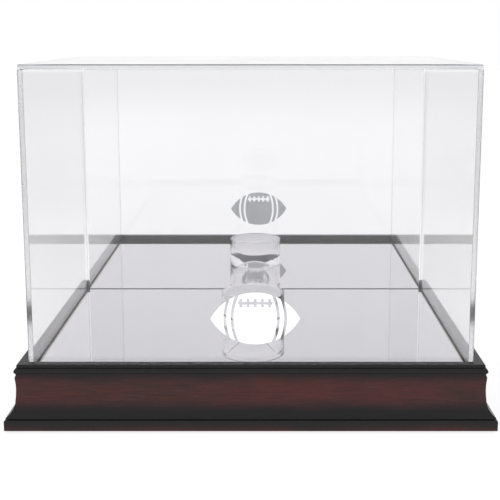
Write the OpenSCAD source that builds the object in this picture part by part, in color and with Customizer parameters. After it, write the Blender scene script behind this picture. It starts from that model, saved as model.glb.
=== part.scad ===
// Display case for one football: a moulded base with a mirror floor, a clear lift-off cover with a
// mirrored back, and a short clear ring that the ball rests on.
// The origin is under the middle of the base, on the surface it stands on. The front faces -Y.

/* [Cover] */
// Width of the cover over its side panels
cover_width = 310; // [290:1:380]
// Depth of the cover over its front and back panels
cover_depth = 215; // [185:1:260]
// Height of the cover's top above the base's ledge
cover_rise = 205.5; // [195:0.5:260]
// Thickness of the clear panels
panel_thickness = 3.2; // [2.5:0.1:5]

/* [Base moulding] */
// Height of the moulding
moulding_height = 45; // [43:0.5:49]
// Gap all round between the cover and the moulding
cover_clearance = 0.5; // [0.4:0.1:1]
// Width of the moulding at the foot, from its outer face to its inner face
moulding_width = 26; // [24:0.5:32]
// Depth of the floor mirror's face below the ledge
floor_drop = 4.9; // [4:0.1:6]
// Thickness of the board under the floor mirror
deck_thickness = 6; // [5:0.5:8]
// Thickness of the panel that closes the underside
bottom_thickness = 3; // [2.5:0.5:4]

/* [Mirrors] */
// Thickness of the floor mirror and of the back mirror
mirror_thickness = 3; // [2:0.5:4]
// Thickness of the tape behind the back mirror
tape_thickness = 0.8; // [0.5:0.1:1.2]

/* [Ring stand] */
// Outer diameter of the ring
ring_diameter = 50.8; // [44:0.2:64]
// Wall of the ring
ring_wall = 3.6; // [2.5:0.1:6]
// Height of the ring
ring_height = 25.4; // [15:0.2:30]

/* [Emblem] */
// Length of the emblem on the front panel
emblem_length = 62; // [50:1:70]
// Height of the emblem on the front panel
emblem_height = 37; // [30:1:42]

/* [Hidden] */
$fn = 96;

// How far a cutting shape runs past the face it cuts through
overshoot = 1;

// Colours
mahogany = "#3a1f1c";
raw_board = "#a98a62";
clear_acrylic = [0.85, 0.92, 0.95, 0.3];
silvered = "#c9ced4";

// Moulding section: distances out from the cover's face, and heights below the ledge
lip_out = 6.9;
lip_radius = 0.6;
lip_drop = 2.1;
bead_radius = 2.1;
bead_out = 8.6;
bead_drop = 4.5;
neck_out = 7.5;
shoulder_radius = 3;
shoulder_drop = 9.3;
fascia_out = 8.1;
fascia_hollow = 0.55;
cove_radius = 13.2;
cove_drop = 25;
cove_end_out = 14;
quirk_out = 12.8;
quirk_drop = 36.5;
plinth_out = 15;
plinth_drop = 37.3;
plinth_radius = 1;
foot_radius = 0.7;

// Levels above the surface that the base stands on
pad_height = 1.5;
ledge_z = pad_height + moulding_height;
floor_z = ledge_z - floor_drop;
deck_top_z = floor_z - mirror_thickness;
deck_bottom_z = deck_top_z - deck_thickness;
bottom_recess = 1.5;
bottom_panel_z = pad_height + bottom_recess;
block_z = bottom_panel_z + bottom_thickness;
cover_top_z = ledge_z + cover_rise;
panel_top_z = cover_top_z - panel_thickness;

// Plan sizes
recess_width = cover_width + 2 * cover_clearance;
recess_depth = cover_depth + 2 * cover_clearance;
base_width = cover_width + 2 * plinth_out;
base_depth = cover_depth + 2 * plinth_out;
inner_width = base_width - 2 * moulding_width;
inner_depth = base_depth - 2 * moulding_width;
room_width = cover_width - 2 * panel_thickness;
room_depth = cover_depth - 2 * panel_thickness;

// Gaps round the mirrors: the floor mirror clears the cover as it comes down, and the back mirror is
// cut short of the side panels
floor_gap = 0.8;
mirror_side_gap = 1.5;
mirror_end_gap = 0.4;

// Glue blocks and their screws
block_leg = 34;
block_tip = 4;
screw_inset = 11;
screw_radius = 1.75;
screw_head_radius = 3.4;
screw_head_height = 1.9;
screw_length = 16;
screw_recess_radius = 1.1;
screw_recess_depth = 1;

// V-nails: two in each mitre, set back from the outer corner along the joint
nail_insets = [9, 19];
nail_leg = 6;
nail_thickness = 0.5;
nail_height = 7;

// Foot pads
pad_radius = 7;
pad_inset = 16;

// Tape strips behind the back mirror
tape_width = 20;
tape_margin = 12;
tape_spacing = 130;

// Emblem, as a ball seen from the side: two arcs that meet in points, with laces and end bands
emblem_thickness = 0.2;
emblem_above_ledge = 31;
emblem_shift = 3;
emblem_cut = 2;
emblem_band_out = 20;
emblem_band_width = 5;
emblem_band_radius = 40;
lace_length = 20;
lace_drop = 7.5;
lace_count = 5;
lace_bar_height = 6;

// Stands its child, drawn out from the cover's face and up from the ledge, along one front-facing rail
module along_rail(length, face_y) {
    translate([-length / 2, face_y, ledge_z])
        rotate([90, 0, 90])
            mirror([1, 0])
                linear_extrude(length)
                    children();
}

// Outline of the moulding's section; x runs outwards from the cover's face, y up from the ledge
module moulding_outline() {
    inner_x = plinth_out - moulding_width;
    // Ledge, with its arris rounded, and the quirk under it
    translate([inner_x, -lip_drop])
        square([lip_out - inner_x, lip_drop - lip_radius]);
    translate([inner_x, -bead_drop])
        square([lip_out - lip_radius - inner_x, bead_drop]);
    translate([lip_out - lip_radius, -lip_radius])
        circle(lip_radius);
    // Bead, and the neck between it and the shoulder
    translate([bead_out - bead_radius, -bead_drop])
        circle(bead_radius);
    translate([inner_x, -shoulder_drop])
        square([neck_out - inner_x, shoulder_drop - bead_drop]);
    // Rounded shoulder under the bead
    translate([fascia_out - shoulder_radius, -shoulder_drop])
        circle(shoulder_radius);
    fascia_outline(inner_x);
    // Cove, and the quirk under it
    difference() {
        translate([inner_x, -quirk_drop])
            square([cove_end_out - inner_x, quirk_drop - cove_drop]);
        translate([fascia_out + cove_radius, -cove_drop])
            circle(cove_radius);
    }
    translate([inner_x, -plinth_drop])
        square([quirk_out - inner_x, plinth_drop - quirk_drop]);
    plinth_outline(inner_x);
}

// Fascia, hollowed by a shallow arc between the shoulder and the cove
module fascia_outline(inner_x) {
    half_height = (cove_drop - shoulder_drop) / 2;
    hollow_radius = (pow(half_height, 2) + pow(fascia_hollow, 2)) / (2 * fascia_hollow);
    difference() {
        translate([inner_x, -cove_drop])
            square([fascia_out - inner_x, 2 * half_height]);
        translate([fascia_out - fascia_hollow + hollow_radius, half_height - cove_drop])
            circle(hollow_radius, $fn = 720);
    }
}

// Plinth, with its upper and lower arrises rounded
module plinth_outline(inner_x) {
    face_top = -plinth_drop - plinth_radius;
    face_bottom = foot_radius - moulding_height;
    translate([inner_x, -moulding_height])
        square([plinth_out - foot_radius - inner_x, 2 * foot_radius]);
    translate([plinth_out - foot_radius, face_bottom])
        circle(foot_radius);
    translate([inner_x, face_bottom])
        square([plinth_out - inner_x, face_top - face_bottom]);
    translate([plinth_out - plinth_radius, face_top])
        circle(plinth_radius);
    translate([inner_x, face_top])
        square([plinth_out - plinth_radius - inner_x, plinth_radius]);
}

// Whole section: the outline less the rebate for the deck, the floor and the cover
module moulding_section() {
    rebate_bottom = deck_bottom_z - ledge_z;
    difference() {
        moulding_outline();
        translate([cover_clearance - moulding_width, rebate_bottom])
            square([moulding_width, overshoot - rebate_bottom]);
    }
}

// One length of moulding, mitred at both ends, for the side of the base that faces -Y
module rail(length, reach) {
    half = length / 2;
    color(mahogany)
        intersection() {
            along_rail(length, plinth_out - reach)
                moulding_section();
            linear_extrude(ledge_z)
                polygon([
                    [-half, -reach],
                    [half, -reach],
                    [half - reach, 0],
                    [reach - half, 0]
                ]);
        }
}

module front_rail() {
    rail(base_width, base_depth / 2);
}

module back_rail() {
    rotate([0, 0, 180])
        rail(base_width, base_depth / 2);
}

module left_rail() {
    rotate([0, 0, -90])
        rail(base_depth, base_width / 2);
}

module right_rail() {
    rotate([0, 0, 90])
        rail(base_depth, base_width / 2);
}

// Moves its child to one inner corner of the rails; side_x and side_y are -1 or 1
module at_corner(side_x, side_y, half_width, half_depth) {
    translate([side_x * half_width, side_y * half_depth, 0])
        mirror([side_x > 0 ? 1 : 0, 0, 0])
            mirror([0, side_y > 0 ? 1 : 0, 0])
                children();
}

// Glue block with a pilot hole from below, in the corner made by two rails
module corner_block(side_x, side_y) {
    color(raw_board)
        at_corner(side_x, side_y, inner_width / 2, inner_depth / 2)
            difference() {
                translate([0, 0, block_z])
                    linear_extrude(deck_bottom_z - block_z)
                        polygon([
                            [0, 0],
                            [block_leg, 0],
                            [block_leg, block_tip],
                            [block_tip, block_leg],
                            [0, block_leg]
                        ]);
                translate([screw_inset, screw_inset, block_z - overshoot])
                    cylinder(r = screw_radius, h = screw_length - bottom_thickness + overshoot);
            }
}

// One V-nail, driven up across a mitre, with a leg in each rail
module mitre_nail() {
    for (turn = [0, 90])
        rotate([0, 0, turn])
            translate([-nail_thickness / 2, -nail_thickness / 2, pad_height])
                cube([nail_leg, nail_thickness, nail_height]);
}

module mitre_nails() {
    color("gray")
        for (side_x = [-1, 1], side_y = [-1, 1], inset = nail_insets)
            at_corner(side_x, side_y, base_width / 2, base_depth / 2)
                translate([inset, inset, 0])
                    mitre_nail();
}

// Board in the rebate: it carries the floor mirror and the cover's lower edges
module deck_board() {
    color(raw_board)
        translate([-recess_width / 2, -recess_depth / 2, deck_bottom_z])
            cube([recess_width, recess_depth, deck_thickness]);
}

// Floor mirror, inside the cover's panels and under the back mirror
module floor_mirror() {
    color(silvered)
        translate([floor_gap - room_width / 2, floor_gap - room_depth / 2, deck_top_z])
            cube([room_width - 2 * floor_gap, room_depth - 2 * floor_gap, mirror_thickness]);
}

// Panel that closes the underside, with four countersunk screw holes
module bottom_panel() {
    color(raw_board)
        difference() {
            translate([-inner_width / 2, -inner_depth / 2, bottom_panel_z])
                cube([inner_width, inner_depth, bottom_thickness]);
            for (side_x = [-1, 1], side_y = [-1, 1])
                at_corner(side_x, side_y, inner_width / 2, inner_depth / 2)
                    translate([screw_inset, screw_inset, bottom_panel_z])
                        screw_body();
        }
}

// Solid of one countersunk screw standing head down on z = 0
module screw_body() {
    cylinder(r1 = screw_head_radius, r2 = screw_radius, h = screw_head_height);
    cylinder(r = screw_radius, h = screw_length);
}

module bottom_screws() {
    color("dimgray")
        for (side_x = [-1, 1], side_y = [-1, 1])
            at_corner(side_x, side_y, inner_width / 2, inner_depth / 2)
                translate([screw_inset, screw_inset, bottom_panel_z])
                    difference() {
                        screw_body();
                        translate([0, 0, -overshoot])
                            cylinder(r = screw_recess_radius, h = screw_recess_depth + overshoot, $fn = 4);
                    }
}

// Felt pad under one corner of the rails
module foot_pad(side_x, side_y) {
    color("black")
        at_corner(side_x, side_y, base_width / 2, base_depth / 2)
            translate([pad_inset, pad_inset, 0])
                cylinder(r = pad_radius, h = pad_height);
}

// Front or back panel of the cover, at the given side of the room inside
module end_panel(y) {
    color(clear_acrylic)
        translate([-cover_width / 2, y, deck_top_z])
            cube([cover_width, panel_thickness, panel_top_z - deck_top_z]);
}

module front_panel() {
    end_panel(-cover_depth / 2);
}

module back_panel() {
    end_panel(room_depth / 2);
}

// Left or right panel of the cover, between the front and back panels
module side_panel(x) {
    color(clear_acrylic)
        translate([x, -room_depth / 2, deck_top_z])
            cube([panel_thickness, room_depth, panel_top_z - deck_top_z]);
}

module left_panel() {
    side_panel(-cover_width / 2);
}

module right_panel() {
    side_panel(room_width / 2);
}

module top_panel() {
    color(clear_acrylic)
        translate([-cover_width / 2, -cover_depth / 2, panel_top_z])
            cube([cover_width, cover_depth, panel_thickness]);
}

// Mirror that covers the inside of the back panel and stops just above the floor mirror
module back_mirror() {
    width = room_width - 2 * mirror_side_gap;
    back_y = room_depth / 2 - tape_thickness;
    bottom_z = floor_z + mirror_end_gap;
    color(silvered)
        translate([-width / 2, back_y - mirror_thickness, bottom_z])
            cube([width, mirror_thickness, panel_top_z - mirror_end_gap - bottom_z]);
}

// Strips of tape between the back mirror and the back panel
module mirror_tape() {
    bottom_z = floor_z + tape_margin;
    color("white")
        for (x = [-tape_spacing, 0, tape_spacing])
            translate([x - tape_width / 2, room_depth / 2 - tape_thickness, bottom_z])
                cube([tape_width, tape_thickness, panel_top_z - tape_margin - bottom_z]);
}

// Pointed oval made of two arcs
module pointed_oval(length, height) {
    arc_radius = (pow(length, 2) + pow(height, 2)) / (4 * height);
    intersection_for (side = [-1, 1])
        translate([0, side * (arc_radius - height / 2)])
            circle(arc_radius, $fn = 180);
}

// Curved gap on each side of an end band, drawn for the right-hand end
module band_gap(x) {
    translate([x, 0])
        difference() {
            translate([-emblem_band_radius, 0])
                circle(emblem_band_radius + emblem_cut, $fn = 180);
            translate([-emblem_band_radius, 0])
                circle(emblem_band_radius, $fn = 180);
        }
}

// The laces: one long stitch crossed by short ones
module laces() {
    pitch = lace_length / (lace_count - 1);
    translate([-lace_length / 2 - emblem_cut, -emblem_cut / 2])
        square([lace_length + 2 * emblem_cut, emblem_cut]);
    for (i = [0 : lace_count - 1])
        translate([i * pitch - lace_length / 2 - emblem_cut / 2, -lace_bar_height / 2])
            square([emblem_cut, lace_bar_height]);
}

// Plain ball emblem in thin vinyl on the outside of the front panel
module front_emblem() {
    color("white")
        translate([emblem_shift, -cover_depth / 2, ledge_z + emblem_above_ledge])
            rotate([90, 0, 0])
                linear_extrude(emblem_thickness)
                    difference() {
                        pointed_oval(emblem_length, emblem_height);
                        translate([0, emblem_height / 2 - lace_drop])
                            laces();
                        for (side = [0, 1])
                            mirror([side, 0])
                                for (x = [emblem_band_out, emblem_band_out - emblem_band_width])
                                    band_gap(x);
                    }
}

// Loose clear ring that holds the ball
module ring_stand() {
    color(clear_acrylic)
        translate([0, 0, floor_z])
            difference() {
                cylinder(d = ring_diameter, h = ring_height);
                translate([0, 0, -overshoot])
                    cylinder(d = ring_diameter - 2 * ring_wall, h = ring_height + 2 * overshoot);
            }
}

front_rail();
back_rail();
left_rail();
right_rail();
corner_block(-1, -1);  // corner_block_front_left
corner_block(1, -1);  // corner_block_front_right
corner_block(-1, 1);  // corner_block_back_left
corner_block(1, 1);  // corner_block_back_right
mitre_nails();
deck_board();
floor_mirror();
bottom_panel();
bottom_screws();
foot_pad(-1, -1);  // foot_pad_front_left
foot_pad(1, -1);  // foot_pad_front_right
foot_pad(-1, 1);  // foot_pad_back_left
foot_pad(1, 1);  // foot_pad_back_right
front_panel();
back_panel();
left_panel();
right_panel();
top_panel();
back_mirror();
mirror_tape();
front_emblem();
ring_stand();
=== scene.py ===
import math

import bpy
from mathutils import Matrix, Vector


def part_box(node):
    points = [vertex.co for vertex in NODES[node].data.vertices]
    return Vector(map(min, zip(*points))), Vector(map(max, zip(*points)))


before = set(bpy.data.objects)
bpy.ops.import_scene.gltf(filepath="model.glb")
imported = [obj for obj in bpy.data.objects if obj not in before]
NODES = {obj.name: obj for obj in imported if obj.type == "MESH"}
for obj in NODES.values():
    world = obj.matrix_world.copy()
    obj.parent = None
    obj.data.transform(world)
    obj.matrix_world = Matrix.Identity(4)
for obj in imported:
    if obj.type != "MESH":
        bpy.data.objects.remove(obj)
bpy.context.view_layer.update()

# Looks for the football display case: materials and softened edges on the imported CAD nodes, a plain pale
# studio, and the camera. Every length is in metres, in the frame that the CAD model shares.

MM = 0.001
WHITE = (1.0, 1.0, 1.0, 1.0)

# Heights between which the moulding's colour changes, from a rail's own box
RAIL_LOW, RAIL_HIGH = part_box("front_rail")
BASE_HEIGHT = RAIL_HIGH.z
RAIL_FOOT = RAIL_LOW.z

# The cover's cement joints lie at this height, outside a room of these half sizes
JOINT_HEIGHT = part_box("top_panel")[0].z
ROOM_HALF_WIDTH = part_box("right_panel")[0].x
ROOM_HALF_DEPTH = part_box("back_panel")[0].y


# --- Building node trees ------------------------------------------------------------------------------

class Graph:
    """One material's node tree, with short calls for the nodes that the materials share. A noise or a
    stretch takes its repeats per metre, one number an axis."""

    def __init__(self, name):
        self.material = bpy.data.materials.new(name)
        self.material.use_nodes = True
        self.tree = self.material.node_tree
        self.shader = self.tree.nodes["Principled BSDF"]
        self.output = self.tree.nodes["Material Output"]
        coordinates = self.add("ShaderNodeTexCoord")
        self.position = coordinates.outputs["Object"]
        self.normal = coordinates.outputs["Normal"]

    def add(self, kind, inputs=None, **settings):
        """A new node, with its settings and its inputs' values or links by name."""
        node = self.tree.nodes.new(kind)
        for key, value in settings.items():
            setattr(node, key, value)
        for key, value in (inputs or {}).items():
            self.feed(node.inputs[key], value)
        return node

    def feed(self, socket, value):
        """Links a socket to value if that is a socket too, and otherwise sets it to value."""
        if isinstance(value, bpy.types.NodeSocket):
            self.tree.links.new(value, socket)
        else:
            socket.default_value = value

    def set(self, **values):
        """Sets or links the Principled node's sockets; an underscore stands for a space."""
        for key, value in values.items():
            self.feed(self.shader.inputs[key.replace("_", " ")], value)

    def stretched(self, per_metre):
        """Object coordinates scaled so that a texture of scale 1 repeats per_metre times a metre."""
        mapping = self.add("ShaderNodeMapping", {"Vector": self.position, "Scale": per_metre})
        return mapping.outputs["Vector"]

    def noise(self, per_metre, detail=3.0, roughness=0.5, distortion=0.0):
        inputs = {
            "Vector": self.stretched(per_metre),
            "Scale": 1.0,
            "Detail": detail,
            "Roughness": roughness,
            "Distortion": distortion,
        }
        return self.add("ShaderNodeTexNoise", inputs).outputs["Fac"]

    def ranged(self, value, low, high, to_low=0.0, to_high=1.0):
        """value taken from low..high to to_low..to_high, and held at the ends."""
        inputs = {"Value": value, "From Min": low, "From Max": high, "To Min": to_low, "To Max": to_high}
        return self.add("ShaderNodeMapRange", inputs).outputs["Result"]

    def ramp(self, value, stops):
        """A colour ramp through (place, colour) stops."""
        node = self.add("ShaderNodeValToRGB", {"Fac": value})
        elements = node.color_ramp.elements
        while len(elements) < len(stops):
            elements.new(1.0)
        for element, (place, colour) in zip(elements, stops):
            element.position = place
            element.color = (*colour, 1.0)
        return node.outputs["Color"]

    def mixed(self, factor, first, second):
        """Two colours mixed; a plain colour is three numbers."""
        node = self.add("ShaderNodeMix", data_type="RGBA")
        colour_in = [socket for socket in node.inputs if socket.type == "RGBA"]
        colour_out = [socket for socket in node.outputs if socket.type == "RGBA"]
        self.feed(node.inputs["Factor"], factor)
        for socket, colour in zip(colour_in, (first, second)):
            self.feed(socket, colour if isinstance(colour, bpy.types.NodeSocket) else (*colour, 1.0))
        return colour_out[0]

    def maths(self, operation, first, second=0.0):
        node = self.add("ShaderNodeMath", operation=operation)
        self.feed(node.inputs[0], first)
        self.feed(node.inputs[1], second)
        return node.outputs[0]

    def along(self, vector, axis):
        """One of a vector's three numbers."""
        return self.add("ShaderNodeSeparateXYZ", {"Vector": vector}).outputs[axis]

    def bump(self, height, distance, under=None):
        """A bump from height; under is another bump's normal that this one lies on."""
        inputs = {"Height": height, "Distance": distance, "Strength": 1.0}
        if under is not None:
            inputs["Normal"] = under
        return self.add("ShaderNodeBump", inputs).outputs["Normal"]


# --- Materials ----------------------------------------------------------------------------------------

# How far the wood's colour shows through near black: pairs of a height, from 0 at the rails' foot to 1 at
# the ledge, and the share that shows there
WOOD_SHARE_BY_HEIGHT = [
    (0.00, 0.75),
    (0.05, 0.35),
    (0.10, 0.05),
    (0.16, 0.0),
    (0.29, 0.0),
    (0.345, 0.3),
    (0.405, 0.7),
    (0.46, 0.92),
    (0.52, 1.0),
    (0.70, 0.95),
    (0.79, 0.45),
    (0.85, 0.05),
    (0.90, 0.0),
]


# The near-black colour that the rails take on by height, darkest on the rim and in the lower cove
NEAR_BLACK_BY_HEIGHT = (0.0095, 0.0088, 0.0092)
REDDEST_WOOD = (0.086, 0.0185, 0.0175)
DARK_FIBRE = (0.02, 0.006, 0.006)
PORE_BROWN = (0.009, 0.004, 0.004)
BAND_EDGE_WOBBLE = 1.2 * MM


def mahogany(name, lengthwise):
    """Red-brown stained mahogany under satin lacquer, darkened to near black by height: darkest on the rim
    and in the lower cove, with the wood's colour showing on the flat face and at the foot. lengthwise is
    the axis, 0 or 1, that the rail and its grain run along."""
    graph = Graph(name)

    def run(along, across):
        """Repeats per metre along the rail and across it."""
        scale = [across, across, across]
        scale[lengthwise] = along
        return scale

    figure = graph.noise(run(60.0, 700.0), detail=4.0, roughness=0.6, distortion=0.3)
    patches = graph.noise(run(16.0, 32.0), detail=5.0, roughness=0.6, distortion=0.4)
    fibre = graph.noise(run(30.0, 1500.0), detail=4.0, roughness=0.6)
    clouds = graph.noise(run(22.0, 60.0), detail=2.0)
    pores = graph.ranged(graph.noise(run(160.0, 3200.0), detail=2.0), 0.62, 0.72)

    wood = graph.ramp(figure, [
        (0.30, (0.030, 0.0145, 0.0145)),
        (0.48, (0.042, 0.0172, 0.0168)),
        (0.66, (0.056, 0.0205, 0.0195)),
    ])
    streaks = graph.ranged(figure, 0.32, 0.62, 0.45, 1.0)
    reddest = graph.maths("MULTIPLY", graph.ranged(patches, 0.40, 0.68, 0.0, 0.8), streaks)
    wood = graph.mixed(reddest, wood, REDDEST_WOOD)
    wood = graph.mixed(graph.ranged(fibre, 0.35, 0.7, 0.0, 0.45), wood, DARK_FIBRE)
    wood = graph.mixed(graph.maths("MULTIPLY", pores, 0.6), wood, PORE_BROWN)

    # The colour goes from the wood's to near black by height, along a wobbly edge
    height = graph.along(graph.position, "Z")
    wobble = graph.ranged(clouds, 0.3, 0.7, -BAND_EDGE_WOBBLE, BAND_EDGE_WOBBLE)
    level = graph.ranged(graph.maths("ADD", height, wobble), RAIL_FOOT, BASE_HEIGHT)
    showing = graph.ramp(level, [(place, (share, share, share)) for place, share in WOOD_SHARE_BY_HEIGHT])
    colour = graph.mixed(showing, NEAR_BLACK_BY_HEIGHT, wood)

    satin = graph.ranged(clouds, 0.3, 0.7, 0.27, 0.37)
    relief = graph.bump(fibre, 0.06 * MM)
    relief = graph.bump(graph.maths("SUBTRACT", 1.0, pores), 0.05 * MM, under=relief)
    graph.set(Base_Color=colour, Roughness=satin, Normal=relief, Specular_IOR_Level=0.2)
    return graph.material


def raw_pine():
    """Planed pine glue blocks: pale, with darker growth rings and fine fibre standing upright."""
    graph = Graph("pine_blocks")
    rings = graph.add("ShaderNodeTexWave", {
        "Vector": graph.stretched((260.0, 260.0, 22.0)),
        "Scale": 1.0,
        "Distortion": 3.0,
        "Detail": 2.0,
        "Detail Scale": 0.6,
    }, wave_type="RINGS", rings_direction="Z").outputs["Fac"]
    fibre = graph.noise((1800.0, 1800.0, 60.0), detail=4.0)
    colour = graph.ramp(rings, [
        (0.15, (0.62, 0.44, 0.25)),
        (0.60, (0.56, 0.37, 0.19)),
        (0.95, (0.40, 0.23, 0.10)),
    ])
    colour = graph.mixed(graph.ranged(fibre, 0.4, 0.7, 0.0, 0.35), colour, (0.42, 0.27, 0.13))
    graph.set(Base_Color=colour, Roughness=graph.ranged(fibre, 0.3, 0.7, 0.6, 0.8))
    graph.set(Normal=graph.bump(fibre, 0.1 * MM))
    return graph.material


def fibreboard():
    """Medium-density fibreboard: even brown with pale and dark flecks of fibre."""
    graph = Graph("fibreboard_sheet")
    flecks = graph.noise((900.0, 420.0, 900.0), detail=5.0, roughness=0.7)
    clouds = graph.noise((14.0, 14.0, 14.0), detail=3.0)
    colour = graph.ramp(flecks, [
        (0.32, (0.19, 0.115, 0.06)),
        (0.50, (0.30, 0.195, 0.11)),
        (0.68, (0.42, 0.29, 0.17)),
    ])
    colour = graph.mixed(graph.ranged(clouds, 0.35, 0.65, 0.0, 0.3), colour, (0.24, 0.15, 0.08))
    graph.set(Base_Color=colour, Roughness=graph.ranged(flecks, 0.3, 0.7, 0.62, 0.8))
    graph.set(Normal=graph.bump(flecks, 0.08 * MM))
    return graph.material


def zinc_steel():
    """Zinc-plated steel, drawn lines and a slight mottle."""
    graph = Graph("zinc_steel")
    drawn = graph.noise((3000.0, 3000.0, 260.0), detail=3.0)
    mottle = graph.noise((400.0, 400.0, 400.0), detail=4.0)
    colour = graph.ramp(mottle, [
        (0.35, (0.46, 0.46, 0.48)),
        (0.65, (0.66, 0.66, 0.67)),
    ])
    graph.set(Base_Color=colour, Roughness=graph.ranged(drawn, 0.3, 0.7, 0.24, 0.42))
    graph.set(Metallic=1.0, Normal=graph.bump(drawn, 0.02 * MM))
    return graph.material


def felt():
    """Black wool felt: tangled fibres with a soft nap."""
    graph = Graph("black_felt")
    tangle = graph.noise((2600.0, 2600.0, 2600.0), detail=6.0, roughness=0.75, distortion=1.5)
    colour = graph.ramp(tangle, [
        (0.30, (0.007, 0.007, 0.007)),
        (0.55, (0.022, 0.022, 0.023)),
        (0.75, (0.07, 0.07, 0.072)),
    ])
    graph.set(Base_Color=colour, Roughness=graph.ranged(tangle, 0.3, 0.7, 0.85, 1.0))
    graph.set(Sheen_Weight=0.6, Sheen_Roughness=0.5, Normal=graph.bump(tangle, 0.4 * MM))
    return graph.material


def foam_tape():
    """White foam tape: fine closed cells, a little yellow."""
    graph = Graph("white_foam_tape")
    cells = graph.add("ShaderNodeTexVoronoi", {
        "Vector": graph.stretched((4000.0, 4000.0, 4000.0)),
        "Scale": 1.0,
    }, feature="F1").outputs["Distance"]
    colour = graph.ramp(cells, [
        (0.05, (0.66, 0.65, 0.60)),
        (0.60, (0.80, 0.79, 0.75)),
    ])
    graph.set(Base_Color=colour, Roughness=graph.ranged(cells, 0.0, 0.8, 0.65, 0.9))
    graph.set(Normal=graph.bump(cells, 0.08 * MM))
    return graph.material


def white_vinyl():
    """Cut white vinyl film: bright, with faint orange peel and a slight soiling at large scale."""
    graph = Graph("cut_white_vinyl")
    peel = graph.noise((900.0, 900.0, 900.0), detail=2.0)
    soil = graph.noise((45.0, 45.0, 45.0), detail=3.0)
    colour = graph.ramp(soil, [
        (0.30, (0.93, 0.93, 0.93)),
        (0.70, (0.97, 0.97, 0.975)),
    ])
    graph.set(Base_Color=colour, Roughness=graph.ranged(soil, 0.3, 0.7, 0.30, 0.40))
    graph.set(Normal=graph.bump(peel, 0.01 * MM))
    return graph.material


ACRYLIC_IOR = 1.49
LEAST_TINTED = (0.992, 0.990, 0.996)
MOST_TINTED = (0.985, 0.983, 0.991)
SAWN_TINT = (0.87, 0.865, 0.885)
SAWN_HAZE = 0.3
PASSING_TINT = (0.94, 0.95, 0.955, 1.0)
# A face belongs to a cement joint if it lies this near the joint's height
JOINT_REACH = 0.4 * MM
BLEND_WIDTH = 0.1 * MM


def in_cement_joint(graph):
    """1 where the cover's top sheet is cemented to the walls, and 0 elsewhere."""
    x, y, z = (graph.along(graph.position, axis) for axis in "XYZ")
    away = graph.maths("ABSOLUTE", graph.maths("SUBTRACT", z, JOINT_HEIGHT))
    level = graph.ranged(away, JOINT_REACH, JOINT_REACH + BLEND_WIDTH, 1.0, 0.0)
    past_side = graph.maths("SUBTRACT", graph.maths("ABSOLUTE", x), ROOM_HALF_WIDTH)
    past_end = graph.maths("SUBTRACT", graph.maths("ABSOLUTE", y), ROOM_HALF_DEPTH)
    outside = graph.ranged(graph.maths("MAXIMUM", past_side, past_end), -BLEND_WIDTH, 0.0)
    return graph.maths("MULTIPLY", level, outside)


def on_upper_arris(graph):
    """1 on the rounded arris round an upper face, and 0 on level and upright faces."""
    upward = graph.maths("MAXIMUM", graph.along(graph.normal, "Z"), 0.0)
    slope = graph.maths("MULTIPLY", upward, graph.maths("SUBTRACT", 1.0, upward))
    return graph.ranged(slope, 0.03, 0.14)


def on_upright_face(graph):
    """1 on upright faces, and 0 on level ones."""
    level = graph.maths("ABSOLUTE", graph.along(graph.normal, "Z"))
    return graph.ranged(level, 0.75, 0.95, 1.0, 0.0)


def clear_acrylic(name, cemented=None, painted_dimming=1.0, jointed=False, arris_painted_shade=None):
    """Polished cast acrylic. Faint wiping marks vary its gloss, and a very slight waviness bends what
    shows through it. Rays from lamps and from matt surfaces pass straight through.
    cemented: the axis whose faces are sawn ends in a cement joint, which are hazy.
    painted_dimming: a number that the tint is multiplied by; below 1 it paints shade, a darker copy of the
    same acrylic.
    jointed: light passes straight through the joint between the top sheet and the walls.
    arris_painted_shade: a dark colour painted on a level sheet's upper arris, painted shade that stands in
    for the dark line the edge shows by refraction; its upright faces are then sawn and hazy."""
    graph = Graph(name)
    wiping = graph.noise((22.0, 22.0, 60.0), detail=4.0, roughness=0.65, distortion=0.8)
    waves = graph.noise((7.0, 7.0, 7.0), detail=1.0)
    tint = graph.ramp(wiping, [
        (0.35, [value * painted_dimming for value in LEAST_TINTED]),
        (0.65, [value * painted_dimming for value in MOST_TINTED]),
    ])
    haze = graph.ranged(wiping, 0.35, 0.75, 0.0, 0.045)
    if cemented is not None:
        joint = graph.ranged(graph.maths("ABSOLUTE", graph.along(graph.normal, cemented)), 0.6, 0.8)
        sawn = graph.ranged(graph.noise((60.0, 60.0, 60.0), detail=2.0), 0.3, 0.7, 0.2, 0.28)
        haze = graph.maths("MAXIMUM", haze, graph.maths("MULTIPLY", joint, sawn))
        tint = graph.mixed(joint, tint, SAWN_TINT)
    if arris_painted_shade is not None:
        # Painted shade: the upper arris is tinted dark, for the dark line that the edge shows by refraction
        tint = graph.mixed(on_upper_arris(graph), tint, arris_painted_shade)
        haze = graph.maths("MAXIMUM", haze, graph.maths("MULTIPLY", on_upright_face(graph), SAWN_HAZE))
    graph.set(Base_Color=tint, Roughness=haze)
    graph.set(Transmission_Weight=1.0, IOR=ACRYLIC_IOR, Normal=graph.bump(waves, 0.04 * MM))
    path = graph.add("ShaderNodeLightPath")
    straight = graph.maths("MAXIMUM", path.outputs["Is Shadow Ray"], path.outputs["Is Diffuse Ray"])
    if jointed:
        straight = graph.maths("MAXIMUM", straight, in_cement_joint(graph))
    passing = graph.add("ShaderNodeBsdfTransparent", {"Color": PASSING_TINT})
    join = graph.add("ShaderNodeMixShader")
    graph.feed(join.inputs[0], straight)
    graph.feed(join.inputs[1], graph.shader.outputs[0])
    graph.feed(join.inputs[2], passing.outputs[0])
    graph.feed(graph.output.inputs["Surface"], join.outputs[0])
    return graph.material


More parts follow.
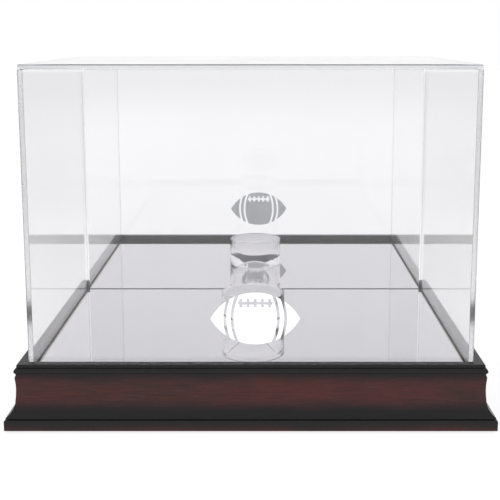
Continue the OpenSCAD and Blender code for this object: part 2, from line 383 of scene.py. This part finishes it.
def mirror_sheet(name, facing, silver):
    """Mirrored sheet: silver on the face that looks along facing, grey backing paint on the face behind
    it, and pale sawn edges."""
    graph = Graph(name)
    clouds = graph.noise((12.0, 12.0, 12.0), detail=3.0)
    speckle = graph.noise((500.0, 500.0, 500.0), detail=4.0)
    sprayed = graph.noise((35.0, 35.0, 60.0), detail=3.0)
    turned = graph.add("ShaderNodeVectorMath", operation="DOT_PRODUCT")
    graph.feed(turned.inputs[0], graph.normal)
    graph.feed(turned.inputs[1], facing)
    is_face = graph.ranged(turned.outputs["Value"], 0.6, 0.8)
    is_back = graph.ranged(turned.outputs["Value"], -0.6, -0.8)
    bright = graph.ramp(clouds, [
        (0.30, silver),
        (0.70, [value * 0.985 for value in silver]),
    ])
    paint = graph.ramp(sprayed, [
        (0.35, (0.155, 0.160, 0.170)),
        (0.65, (0.190, 0.195, 0.205)),
    ])
    edge = graph.ramp(speckle, [
        (0.35, (0.76, 0.77, 0.78)),
        (0.65, (0.86, 0.87, 0.88)),
    ])
    plain = graph.mixed(is_back, edge, paint)
    graph.set(Base_Color=graph.mixed(is_face, plain, bright), Metallic=is_face)
    graph.set(Roughness=graph.ranged(is_face, 0.0, 1.0, 0.5, 0.0))
    return graph.material


# --- CAD nodes: softened edges and materials ----------------------------------------------------------

# The imported meshes' split corners are nearer to each other than this
SPLIT_CORNER_GAP = 0.002 * MM
# Edges that turn by less than this are curves, and stay as they are
LEAST_TURN = math.radians(40)
HAIR = 0.03 * MM
SHEET_ARRIS = 0.2 * MM
RING_ARRIS = 0.35 * MM
TOP_ARRIS = 1.2 * MM


def soften(node, width, segments=2, shrink=0.0):
    """Joins the imported mesh's split corners, rounds its sharp edges by width and, where it touches a
    neighbour that light has to leave by, shrinks it by a hair's breadth."""
    part = NODES[node]
    weld = part.modifiers.new("join_corners", "WELD")
    weld.merge_threshold = SPLIT_CORNER_GAP
    bevel = part.modifiers.new("soft_edges", "BEVEL")
    bevel.width = width
    bevel.segments = segments
    bevel.limit_method = "ANGLE"
    bevel.angle_limit = LEAST_TURN
    bevel.harden_normals = True
    if shrink:
        gap = part.modifiers.new("hairline", "DISPLACE")
        gap.strength = -shrink
        gap.mid_level = 0.0


def dress(nodes, material):
    """Gives each CAD node the material in place of its plain one."""
    for node in nodes:
        NODES[node].material_slots[0].material = material


def dress_cover():
    long_walls = ["front_panel", "back_panel"]
    short_walls = ["left_panel", "right_panel"]
    for wall in long_walls + short_walls:
        soften(wall, SHEET_ARRIS, shrink=HAIR)
    soften("top_panel", TOP_ARRIS, segments=4, shrink=HAIR)
    dress(long_walls, clear_acrylic("acrylic_sheet", jointed=True))
    # The top sheet's upper arris is painted a dark lavender: painted shade
    dress(["top_panel"], clear_acrylic("acrylic_top_sheet", jointed=True, arris_painted_shade=(0.56, 0.56, 0.62)))
    # The side walls' tint is painted 4 % darker than the other walls': painted shade
    dress(short_walls, clear_acrylic("acrylic_sheet_cemented_shaded", cemented="Y", painted_dimming=0.96, jointed=True))
    dress(["mirror_tape"], foam_tape())
    dress(["front_emblem"], white_vinyl())


def dress_ring():
    soften("ring_stand", RING_ARRIS, segments=3, shrink=HAIR)
    dress(["ring_stand"], clear_acrylic("acrylic_tube"))


def dress_mirrors():
    """The back mirror looks towards the front panel, and the floor mirror looks up."""
    soften("back_mirror", SHEET_ARRIS)
    soften("floor_mirror", SHEET_ARRIS)
    dress(["back_mirror"], mirror_sheet("mirror_upright", (0.0, -1.0, 0.0), (0.865, 0.862, 0.868)))
    # The floor mirror's silver is painted darker than the back mirror's: painted shade for the dimmer light
    # it reflects
    dress(["floor_mirror"], mirror_sheet("mirror_flat_shaded", (0.0, 0.0, 1.0), (0.735, 0.728, 0.755)))


def dress_base():
    dress(["front_rail", "back_rail"], mahogany("mahogany_lengthwise", 0))
    dress(["left_rail", "right_rail"], mahogany("mahogany_endwise", 1))
    dress([node for node in NODES if node.startswith("corner_block")], raw_pine())
    dress([node for node in NODES if node.startswith("foot_pad")], felt())
    dress(["deck_board", "bottom_panel"], fibreboard())
    dress(["mitre_nails", "bottom_screws"], zinc_steel())


dress_cover()
dress_ring()
dress_mirrors()
dress_base()


# --- Studio -------------------------------------------------------------------------------------------

FLOOR_HALF_WIDTH = 6.0
FLOOR_GLOW = 0.79
# The floor's glow falls to this share between these two distances behind the case's middle
GLOW_BEHIND = 0.72
GLOW_FALLS_FROM = 0.2
GLOW_FALLS_TO = 0.8
# The world's light falls to this share between these two elevations
WORLD_OVERHEAD = 0.92
WORLD_FALLS_FROM = math.radians(14.0)
WORLD_FALLS_TO = math.radians(22.0)
LIT_POINT = (0.0, 0.0, 0.1)

CAMERA_PLACE = (0.0092, -0.7375, 0.2724)
CAMERA_DOWNWARD_DEGREES = 9.14
CAMERA_LENS_MM = 67.98
CAMERA_SHIFT = (-0.0285, -0.13)


def studio_floor():
    """A pale glowing floor. Seen through the case or in a mirror, it is a little darker behind the case."""
    mesh = bpy.data.meshes.new("studio_floor")
    signs = [(-1, -1), (1, -1), (1, 1), (-1, 1)]
    corners = [(x * FLOOR_HALF_WIDTH, y * FLOOR_HALF_WIDTH, 0.0) for x, y in signs]
    mesh.from_pydata(corners, [], [(0, 1, 2, 3)])
    floor = bpy.data.objects.new("studio_floor", mesh)
    bpy.context.scene.collection.objects.link(floor)
    graph = Graph("pale_floor")
    graph.set(Base_Color=(0.25, 0.25, 0.25, 1.0), Roughness=0.9, Specular_IOR_Level=0.0)
    distance = graph.along(graph.position, "Y")
    behind = graph.ranged(distance, GLOW_FALLS_FROM, GLOW_FALLS_TO, 1.0, GLOW_BEHIND)
    path = graph.add("ShaderNodeLightPath")
    seen = graph.maths("MAXIMUM", behind, path.outputs["Is Camera Ray"])
    glow = graph.maths("MULTIPLY", seen, FLOOR_GLOW)
    graph.set(Emission_Color=WHITE, Emission_Strength=glow)
    mesh.materials.append(graph.material)


def studio_world():
    """White all round, a little brighter towards the horizon than overhead."""
    world = bpy.data.worlds.new("white_studio")
    bpy.context.scene.world = world
    world.use_nodes = True
    tree = world.node_tree
    background = tree.nodes["Background"]
    background.inputs["Color"].default_value = WHITE
    direction = tree.nodes.new("ShaderNodeTexCoord")
    parts = tree.nodes.new("ShaderNodeSeparateXYZ")
    strength = tree.nodes.new("ShaderNodeMapRange")
    strength.interpolation_type = "SMOOTHSTEP"
    strength.inputs["From Min"].default_value = math.sin(WORLD_FALLS_FROM)
    strength.inputs["From Max"].default_value = math.sin(WORLD_FALLS_TO)
    strength.inputs["To Min"].default_value = 1.0
    strength.inputs["To Max"].default_value = WORLD_OVERHEAD
    tree.links.new(direction.outputs["Generated"], parts.inputs[0])
    tree.links.new(parts.outputs["Z"], strength.inputs["Value"])
    tree.links.new(strength.outputs["Result"], background.inputs["Strength"])


def soft_box(name, place, width, height, power):
    """A rectangular area light of so many watts, turned towards the case. It lights the case, but neither
    its mirrors nor its clear sheets show it."""
    data = bpy.data.lights.new(name, "AREA")
    data.shape = "RECTANGLE"
    data.size = width
    data.size_y = height
    data.energy = power
    light = bpy.data.objects.new(name, data)
    bpy.context.scene.collection.objects.link(light)
    light.visible_glossy = False
    light.visible_transmission = False
    light.location = place
    across, away, up = (target - start for start, target in zip(place, LIT_POINT))
    tilt = math.atan2(math.hypot(across, away), -up)
    turn = math.atan2(-across, away)
    light.rotation_euler = (tilt, 0.0, turn)


def camera():
    """The photograph's viewing angle: in front, a little above, with a shift that keeps the case framed."""
    data = bpy.data.cameras.new("camera")
    data.sensor_width = 36.0
    data.lens = CAMERA_LENS_MM
    data.shift_x, data.shift_y = CAMERA_SHIFT
    data.clip_start = 0.01
    data.clip_end = 100.0
    viewer = bpy.data.objects.new("camera", data)
    bpy.context.scene.collection.objects.link(viewer)
    viewer.location = CAMERA_PLACE
    viewer.rotation_euler = (math.radians(90.0 - CAMERA_DOWNWARD_DEGREES), 0.0, 0.0)
    bpy.context.scene.camera = viewer


def light_paths():
    """Enough bounces for light to cross the cover's sheets and mirrors several times."""
    scene = bpy.context.scene
    scene.view_settings.view_transform = "Standard"
    scene.view_settings.look = "None"
    scene.cycles.max_bounces = 32
    scene.cycles.diffuse_bounces = 4
    scene.cycles.glossy_bounces = 16
    scene.cycles.transmission_bounces = 24
    scene.cycles.transparent_max_bounces = 32
    scene.cycles.caustics_reflective = True
    scene.cycles.caustics_refractive = False


studio_floor()
studio_world()
soft_box("key_left", (-1.6, -1.8, 1.7), width=1.6, height=1.2, power=26.0)
soft_box("fill_right", (1.9, -1.4, 1.2), width=1.4, height=1.4, power=14.0)
camera()
light_paths()
